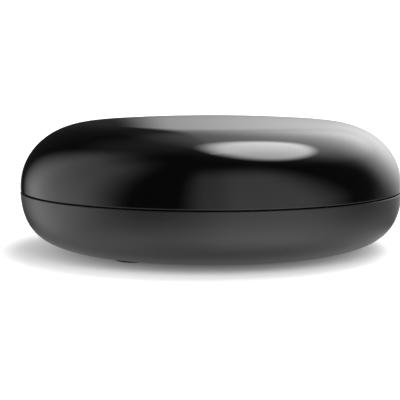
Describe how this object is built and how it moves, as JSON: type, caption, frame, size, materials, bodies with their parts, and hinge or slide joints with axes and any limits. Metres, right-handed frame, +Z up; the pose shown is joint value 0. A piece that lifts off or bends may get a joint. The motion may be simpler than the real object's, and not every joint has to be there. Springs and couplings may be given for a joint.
{
  "type": "streaming media player",
  "caption": "Round pebble-shaped streaming box: glossy domed top shell, satin lower shell on rubber feet, recessed rear panel of sockets and a circuit board inside.",
  "frame": {"origin": "on the floor under the centre of the round case, at the feet's lowest plane", "axes": "+Z up out of the dome, -Y the plain front, +Y the recessed port panel, +X to the right seen from the front"},
  "size_m": [0.12, 0.12, 0.0412],
  "materials": {
    "gloss_black": "high gloss, moulded and polished",
    "satin_black": "fine satin texture",
    "foot_rubber": "matte",
    "steel": "zinc plated",
    "label_grey": "printed film, blank",
    "board_green": "solder mask over glass fibre",
    "tin_plate": "bright tin plate",
    "connector_black": "moulded",
    "gold_plate": "gold plated contacts",
    "clear_plastic": "clear moulded plastic",
    "chip_black": "moulded epoxy",
    "crystal_can": "lidded metal can",
    "thermal_pad": "soft silicone pad",
    "aluminium": "plain",
    "ferrite": "pressed ferrite",
    "led_phosphor": "phosphor over a white body",
    "copper_film": "copper on film",
    "cable_jacket": "thin coaxial jacket"
  },
  "bodies": {
    "case": {"antenna_lead_left": "cable_jacket", "antenna_lead_right": "cable_jacket", "antenna_left": "copper_film", "antenna_plug_left": "gold_plate", "antenna_plug_right": "gold_plate", "antenna_right": "copper_film", "ballast_plate": "steel", "board_screw_left": "steel", "board_screw_rear": "steel", "board_screw_right": "steel", "capacitor_front": "aluminium", "capacitor_middle": "aluminium", "capacitor_rear": "aluminium", "case_screw_front": "steel", "case_screw_rear_left": "steel", "case_screw_rear_right": "steel", "crystal": "crystal_can", "ethernet_body": "connector_black", "ethernet_chip": "chip_black", "ethernet_contacts": "gold_plate", "ethernet_shield": "tin_plate", "foot_front": "foot_rubber", "foot_rear_left": "foot_rubber", "foot_rear_right": "foot_rubber", "hdmi_insert": "connector_black", "hdmi_shell": "tin_plate", "heat_sink": "aluminium", "infrared_receiver": "chip_black", "light_pipe": "clear_plastic", "lower_shell": "satin_black", "main_board": "board_green", "memory_chip_front": "chip_black", "memory_chip_rear": "chip_black", "optical_body": "connector_black", "optical_emitter": "clear_plastic", "port_panel": "satin_black", "power_coil_front": "ferrite", "power_coil_rear": "ferrite", "processor": "chip_black", "processor_pad": "thermal_pad", "radio_module": "tin_plate", "rating_label": "label_grey", "shield_can": "tin_plate", "sink_pad": "thermal_pad", "sink_pin_front": "connector_black", "sink_pin_rear": "connector_black", "sink_spring_front": "steel", "sink_spring_rear": "steel", "status_led": "led_phosphor", "storage_chip": "chip_black", "switch_body": "chip_black", "upper_shell": "gloss_black", "usb_c_insert": "connector_black", "usb_c_shell": "tin_plate"},
    "button": {"pairing_button": "satin_black"},
    "plunger": {"switch_plunger": "connector_black"},
    "shutter": {"optical_shutter": "connector_black"}
  },
  "joints": [
    {"name": "pairing_button_press", "type": "slide", "parent": "case", "child": "button", "axis": [0, -1, 0], "range_m": [0, 0.0003], "stiffness_N_per_m": 200, "springref_m": -0.0002},
    {"name": "switch_plunger_press", "type": "slide", "parent": "case", "child": "plunger", "axis": [0, -1, 0], "range_m": [0, 0.0003]},
    {"name": "optical_shutter_swing", "type": "hinge", "parent": "case", "child": "shutter", "pos_m": [-0.0262, 0.04067, 0.01515], "axis": [-1, 0, 0], "range_deg": [0, 80], "stiffness_Nm_per_rad": 0.00005, "springref_deg": -11.46}
  ],
  "couplings": [
    {"joint": "switch_plunger_press", "follows": "pairing_button_press", "ratio": 1}
  ]
}
